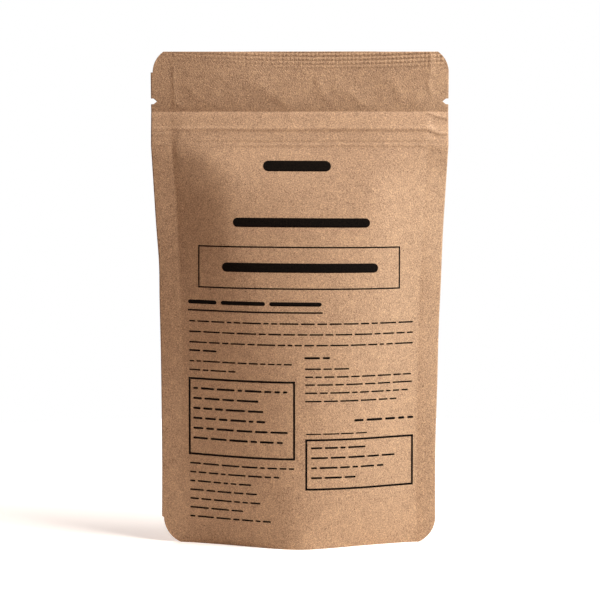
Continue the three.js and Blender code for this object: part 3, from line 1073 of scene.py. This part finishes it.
ink = mesh_object("ink_print", np.concatenate(ink_points), np.concatenate(ink_faces).tolist())
give_thickness(ink, INK_FILM)
print("marks:", len(ink_points), " ink faces:", len(ink.data.polygons))

# %% [markdown]
# ## The finishes
#
# Each finish starts from the real one. The colours are sRGB hex values, which one function turns
# to the linear values that Blender works in, and one helper adds a node with its settings and links.


# %% Material helpers
def linear(hex_colour):
    """sRGB hex to linear RGBA: c/12.92 below 0.04045, ((c + 0.055)/1.055)^2.4 above it."""
    values = [int(hex_colour[i : i + 2], 16) / 255.0 for i in (1, 3, 5)]
    turned = [v / 12.92 if v <= 0.04045 else ((v + 0.055) / 1.055) ** 2.4 for v in values]
    return (*turned, 1.0)


def new_material(name):
    """A material with its shader and output, its node tree, and the shader node."""
    material = bpy.data.materials.new(name)
    material.use_nodes = True
    return material, material.node_tree, material.node_tree.nodes["Principled BSDF"]


def fill_inputs(node, inputs):
    """Gives each input of a node its value, or a link where the value is another node's output."""
    for name, value in inputs.items():
        if isinstance(value, bpy.types.NodeSocket):
            node.id_data.links.new(value, node.inputs[name])
        else:
            node.inputs[name].default_value = value


def add_node(tree, kind, inputs=None, **settings):
    """Adds a node, sets its properties and fills its inputs."""
    node = tree.nodes.new(kind)
    for name, value in settings.items():
        setattr(node, name, value)
    fill_inputs(node, inputs or {})
    return node


print(f"mid grey #808080 is {linear('#808080')[0]:.3f} in linear light")

# %% [markdown]
# ### Kraft paper
#
# Unbleached kraft is pressed from long brown fibres. From near by it is a felt of short light and
# dark strokes less than a millimetre wide, with a few dark flecks of bark and a slow cloudiness of
# a few centimetres. It is matt, and its film coating only adds a weak broad sheen. Stretched noise
# at three angles gives the felt, and the same felt is the bump, so light and colour agree.


# %% Kraft paper
FIBRE = 0.5
FIBRE_LAYERS = ((0.8 * FIBRE, 0.0, 1.0), (FIBRE, 45.0, 2.2), (FIBRE, -45.0, 2.2))
FELT_WEIGHT = 3.7
FELT_DEPTH = 0.5
PATCHES = ((5.0, 2.0, 0.35), (32.0, 3.0, 0.2))
FLECK_SPACING = 9.0
FLECK_RIM = {"From Min": 0.03, "From Max": 0.055}
PAPER_FINISH = {"Roughness": 0.7, "IOR": 1.45}


def fibre_felt(tree, place):
    """Mean of the layers (size in mm, angle, stretch), each a noise that is turned and stretched."""
    felt = 0.0
    for size, angle, stretch in FIBRE_LAYERS:
        lie = {"Rotation": (0.0, math.radians(angle), 0.0), "Scale": (1.0, 1.0, stretch)}
        turned = add_node(tree, "ShaderNodeMapping", {"Vector": place, **lie}, vector_type="TEXTURE")
        grain = {"Vector": turned.outputs["Vector"], "Scale": 1.0 / (size * MM)}
        strokes = add_node(tree, "ShaderNodeTexNoise", grain)
        mean = {0: strokes.outputs["Fac"], 1: 1.0 / len(FIBRE_LAYERS), 2: felt}
        felt = add_node(tree, "ShaderNodeMath", mean, operation="MULTIPLY_ADD").outputs[0]
    return felt


def kraft_paper(name, dark, light, fleck):
    """Felted fibres, mottling, clouds and flecks in colour, and the fibres as a fine bump.

    The colour goes from dark to light with the weighed sum of the felt and the slow patches
    (size in mm, detail, weight), all centred on 0.5. A fleck covers what is near a cell's middle."""
    material, tree, shader = new_material(name)
    place = add_node(tree, "ShaderNodeTexCoord").outputs["Object"]
    felt = fibre_felt(tree, place)
    centre = 0.5 - 0.5 * (FELT_WEIGHT + sum(weight for _, _, weight in PATCHES))
    weighed = {0: felt, 1: FELT_WEIGHT, 2: centre}
    tone = add_node(tree, "ShaderNodeMath", weighed, operation="MULTIPLY_ADD").outputs[0]
    for size, detail, weight in PATCHES:
        slow = {"Vector": place, "Scale": 1.0 / (size * MM), "Detail": detail}
        patches = add_node(tree, "ShaderNodeTexNoise", slow)
        weighed = {0: patches.outputs["Fac"], 1: weight, 2: tone}
        tone = add_node(tree, "ShaderNodeMath", weighed, operation="MULTIPLY_ADD").outputs[0]
    shades = {"Factor": tone, "A": linear(dark), "B": linear(light)}
    fibres = add_node(tree, "ShaderNodeMix", shades, data_type="RGBA")
    spread = {"Vector": place, "Scale": 1.0 / (FLECK_SPACING * MM)}
    cells = add_node(tree, "ShaderNodeTexVoronoi", spread)
    away = add_node(tree, "ShaderNodeMapRange", {"Value": cells.outputs["Distance"], **FLECK_RIM})
    cover = {"Factor": away.outputs["Result"], "A": linear(fleck), "B": fibres.outputs["Result"]}
    flecked = add_node(tree, "ShaderNodeMix", cover, data_type="RGBA")
    bump = add_node(tree, "ShaderNodeBump", {"Height": felt, "Distance": FELT_DEPTH * MM})
    fill_inputs(shader, {"Base Color": flecked.outputs["Result"], "Normal": bump.outputs["Normal"]})
    fill_inputs(shader, PAPER_FINISH)
    return material


kraft = kraft_paper("kraft paper laminate", dark="#7e5f48", light="#d5ae87", fleck="#5c4433")
for piece in (front, back, gusset):
    piece.data.materials.append(kraft)
print("kraft paper nodes:", len(kraft.node_tree.nodes))

# %% [markdown]
# ### Finishes from one noise
#
# The other three finishes are each one stuff with one kind of unevenness. One noise gives both
# their colour, through a ramp, and their bump, so a dark place is also a low one. Only its size,
# its stretch and the colours differ.


# %% Finish from one noise
def mottled(name, stops, size, depth, finish, stretch=1.0, **grain):
    """A finish whose colour and bump follow one noise, stretched along the pouch's width.

    The colour passes the stops (value of the noise, colour). Size and depth are in mm, the finish
    holds the shader's own inputs, and the grain any more inputs of the noise."""
    material, tree, shader = new_material(name)
    place = add_node(tree, "ShaderNodeTexCoord").outputs["Object"]
    along = {"Vector": place, "Scale": (stretch, 1.0, 1.0)}
    turned = add_node(tree, "ShaderNodeMapping", along, vector_type="TEXTURE").outputs["Vector"]
    noise_inputs = {"Vector": turned, "Scale": 1.0 / (size * MM), **grain}
    noise = add_node(tree, "ShaderNodeTexNoise", noise_inputs).outputs["Fac"]
    ramp = add_node(tree, "ShaderNodeValToRGB", {"Fac": noise})
    for _ in stops[2:]:
        ramp.color_ramp.elements.new(0.5)
    for element, (value, colour) in zip(ramp.color_ramp.elements, stops):
        element.position = value
        element.color = linear(colour)
    bump = add_node(tree, "ShaderNodeBump", {"Height": noise, "Distance": depth * MM})
    fill_inputs(shader, {"Base Color": ramp.outputs["Color"], "Normal": bump.outputs["Normal"]})
    fill_inputs(shader, finish)
    return material


# %% [markdown]
# ### Ink
#
# The print is water-based flexographic ink, pressed on with a rubber plate. It is nearly black and
# as matt as the paper that drinks it, and it lies a little thinner on every raised fibre, so its
# noise has the fibres' size.


# %% Ink
flexo_ink = mottled(
    "flexographic ink",
    ((0.35, "#060403"), (0.7, "#1d1610")),
    size=FIBRE,
    depth=0.25,
    finish={"Roughness": 0.85, "Specular IOR Level": 0.05},
    Detail=4.0,
)
ink.data.materials.append(flexo_ink)
print("ink nodes:", len(flexo_ink.node_tree.nodes))

# %% [markdown]
# ### Zip plastic
#
# The zip is extruded low-density polyethylene, milky and smooth. The die leaves faint streaks along
# it, drawn here as noise that is stretched sixty times along the pouch's width.

# %% Zip plastic
zip_plastic = mottled(
    "extruded polyethylene",
    ((0.3, "#d8d4ca"), (0.7, "#f1eee8")),
    size=0.7,
    depth=0.03,
    finish={"Roughness": 0.4},
    stretch=60.0,
)
for piece in (rib, groove):
    piece.data.materials.append(zip_plastic)
print("zip plastic nodes:", len(zip_plastic.node_tree.nodes))

# %% [markdown]
# ### Fruit
#
# Shelled tamarind is sticky flesh, dark red brown with a wet sheen. The skin round each seed wrinkles
# as it dries, so its noise is a rough one of 6 mm.

# %% Fruit
fruit_flesh = mottled(
    "shelled tamarind flesh",
    ((0.35, "#24100b"), (0.55, "#4a2216"), (0.75, "#7a3d22")),
    size=6.0,
    depth=1.2,
    finish={"Roughness": 0.42},
    Detail=5.0,
    Roughness=0.65,
)
filling.data.materials.append(fruit_flesh)
print("fruit nodes:", len(fruit_flesh.node_tree.nodes))

# %% [markdown]
# ## Joining the pieces to the frame
#
# Each new piece rides on the pouch's one body and takes the place of its plain solid.

# %% Ride and replace
for piece, node, slot in (
    (front, "front_panel", "kraft_laminate"),
    (back, "back_panel", "kraft_laminate"),
    (gusset, "bottom_gusset", "kraft_gusset"),
    (rib, "zip_rib", "zip_plastic"),
    (groove, "zip_groove", "zip_plastic"),
    (filling, "tamarind_filling", "tamarind_flesh"),
):
    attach(piece, "root")
    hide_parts(node)
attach(ink, "root")
print("pieces:", [piece.name for piece in (front, back, gusset, rib, groove, filling, ink)])

# %% [markdown]
# ## The stage
#
# The pouch stands on a pale round floor, as of a lit table, that fades into a white surround.

# %% Floor mesh
FLOOR_SOLID, FLOOR_END = 320.0, 620.0
FLOOR_RINGS, FLOOR_SPOKES = 6, 65


def floor_disc():
    """A flat disc of rings and spokes: radius times (cos, sin) of the angle, at height 0."""
    radius = np.linspace(0.0, FLOOR_END, FLOOR_RINGS)[:, None]
    angle = np.linspace(0.0, 2.0 * math.pi, FLOOR_SPOKES)[None, :]
    points = np.stack([radius * np.cos(angle), radius * np.sin(angle), 0.0 * radius * angle], -1)
    faces = grid_faces(0, FLOOR_RINGS, FLOOR_SPOKES)
    return mesh_object("floor", points.reshape(-1, 3), faces.tolist())


floor = floor_disc()
print("floor faces:", len(floor.data.polygons))

# %% [markdown]
# ### Table top
#
# A white laminate table top takes light from the whole room, and a weak glow stands for that. A
# stronger one, which only the camera sees, lifts it to white without lighting the pouch. It fades
# out away from the middle, so that no edge shows.

# %% Table top
FLOOR_FADE = {
    "From Min": FLOOR_SOLID * MM,
    "From Max": FLOOR_END * MM,
    "To Min": 1.0,
    "To Max": 0.0,
}
table_top, table_tree, table_shader = new_material("white laminate table top")
table_place = add_node(table_tree, "ShaderNodeTexCoord").outputs["Object"]
table_reach = add_node(table_tree, "ShaderNodeVectorMath", {0: table_place}, operation="LENGTH")
table_fade = add_node(
    table_tree,
    "ShaderNodeMapRange",
    {"Value": table_reach.outputs["Value"], **FLOOR_FADE},
    interpolation_type="SMOOTHSTEP",
)
table_finish = {
    "Alpha": table_fade.outputs["Result"],
    "Base Color": linear("#f8f2ea"),
    "Roughness": 0.8,
    "Emission Color": linear("#fff3e6"),
    "Emission Strength": 0.05,
}
fill_inputs(table_shader, table_finish)
table_seen = add_node(table_tree, "ShaderNodeLightPath").outputs["Is Camera Ray"]
table_body = table_shader.outputs["BSDF"]
table_glow = add_node(table_tree, "ShaderNodeEmission", {"Strength": 0.3}).outputs["Emission"]
table_lit = add_node(table_tree, "ShaderNodeAddShader", {0: table_body, 1: table_glow})
table_choice = {"Fac": table_seen, 1: table_body, 2: table_lit.outputs["Shader"]}
table_mix = add_node(table_tree, "ShaderNodeMixShader", table_choice)
fill_inputs(table_tree.nodes["Material Output"], {"Surface": table_mix.outputs["Shader"]})
floor.data.materials.append(table_top)
print("table top nodes:", len(table_tree.nodes))

# %% [markdown]
# ### Light and camera
#
# The key is a large soft box, high on the right, which leaves the left flank in shade. A small cool
# one, low on the right, brings out the upright creases, and one behind lights the plain panel. The
# surround is white where the camera sees it, and lights the pouch only weakly, with a warm tint.
# The camera stands 1.4 m off and a little high, and looks down by four degrees.

# %% Light
MIDDLE = (0.0, 0.0, HEIGHT / 2.0)
SOFTBOXES = (
    ("key", 60.0, 50.0, 1000.0, 467.0, 16.6, "#ffffff"),
    ("side", 90.0, 10.0, 450.0, 315.0, 1.0, "#ccedff"),
    ("back", 205.0, 35.0, 1000.0, 467.0, 5.0, "#ffffff"),
)


def softbox(name, azimuth, elevation, distance, size, watts, colour):
    """A square area light, degrees right of the camera and above level, turned to the pouch.

    Its distance from the pouch's middle and the length of its side are in mm."""
    light = bpy.data.lights.new(name, "AREA")
    light.size = size * MM
    light.energy = watts
    light.color = linear(colour)[:3]
    lamp = bpy.data.objects.new(name, light)
    turn, rise = math.radians(azimuth), math.radians(elevation)
    toward = (math.cos(rise) * math.sin(turn), -math.cos(rise) * math.cos(turn), math.sin(rise))
    lamp.location = [(m + distance * t) * MM for m, t in zip(MIDDLE, toward)]
    lamp.rotation_euler = (math.pi / 2.0 - rise, 0.0, turn)
    bpy.context.scene.collection.objects.link(lamp)


for settings in SOFTBOXES:
    softbox(*settings)
print("soft boxes:", [name for name, *_ in SOFTBOXES])

# %% Surround
world = bpy.data.worlds.new("studio")
world.use_nodes = True
world_tree = world.node_tree
ambient = world_tree.nodes["Background"]
fill_inputs(ambient, {"Color": linear("#ff944e"), "Strength": 0.12})
backdrop = add_node(world_tree, "ShaderNodeBackground", {"Color": linear("#ffffff")})
world_choice = {
    "Fac": add_node(world_tree, "ShaderNodeLightPath").outputs["Is Camera Ray"],
    1: ambient.outputs["Background"],
    2: backdrop.outputs["Background"],
}
world_mix = add_node(world_tree, "ShaderNodeMixShader", world_choice)
fill_inputs(world_tree.nodes["World Output"], {"Surface": world_mix.outputs["Shader"]})
bpy.context.scene.world = world
bpy.context.scene.view_settings.view_transform = "Standard"
print("surround nodes:", len(world_tree.nodes))

# %% Camera
CAMERA_DISTANCE = 1400.0
CAMERA_HEIGHT = 250.8
CAMERA_PITCH = 4.18
CAMERA_ASIDE = 0.41
PIXELS_PER_MM = 1.6487
FRAME_PIXELS = 600.0
SENSOR_WIDTH = 36.0
camera_data = bpy.data.cameras.new("camera")
camera_data.sensor_width = SENSOR_WIDTH
camera_data.lens = PIXELS_PER_MM * CAMERA_DISTANCE / FRAME_PIXELS * SENSOR_WIDTH
camera = bpy.data.objects.new("camera", camera_data)
camera.location = (CAMERA_ASIDE * MM, -CAMERA_DISTANCE * MM, CAMERA_HEIGHT * MM)
camera.rotation_euler = (math.radians(90.0 - CAMERA_PITCH), 0.0, 0.0)
bpy.context.scene.collection.objects.link(camera)
bpy.context.scene.camera = camera
print(f"focal length {camera_data.lens:.0f} mm on a sensor {SENSOR_WIDTH:.0f} mm wide")
